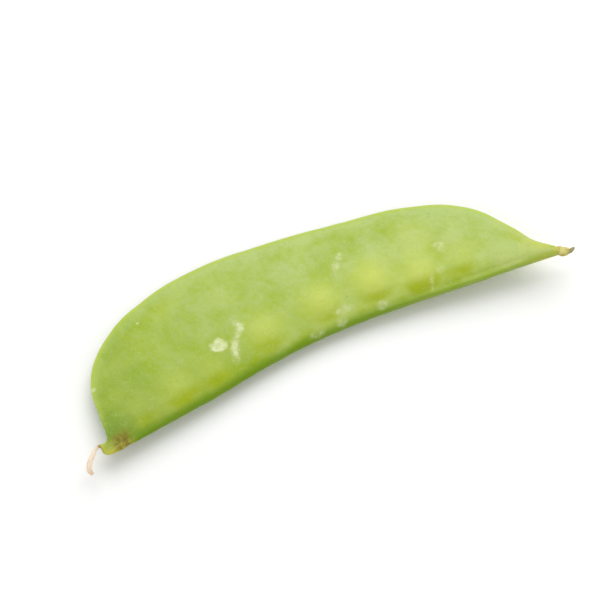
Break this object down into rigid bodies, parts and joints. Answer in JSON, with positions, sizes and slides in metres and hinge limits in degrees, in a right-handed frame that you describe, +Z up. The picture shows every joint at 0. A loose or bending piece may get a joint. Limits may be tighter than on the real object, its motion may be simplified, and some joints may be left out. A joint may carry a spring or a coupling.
{
  "type": "snow pea pod",
  "caption": "Whole flat snow pea pod lying on its side, with a row of faint pea swellings, a hooked beak with its dried style, and a short stem stub.",
  "frame": {"origin": "bottom centre of the object's box, on the surface that the pod lies on", "axes": "+X along the pod from its beak to its stem end, +Y across it from the seam that the peas hang from to the thin back seam, +Z up through its thickness, away from the surface it lies on"},
  "size_m": [0.0892, 0.0272, 0.0069],
  "materials": {
    "pod_skin": "waxy fresh green plant skin, faintly mottled, satin",
    "stub_bark": "dull tan plant fibre, slightly wrinkled",
    "dry_straw": "dry papery straw, matt"
  },
  "bodies": {
    "root": {"pod": "pod_skin", "stem_stub": "stub_bark", "dried_style": "dry_straw"}
  },
  "joints": []
}
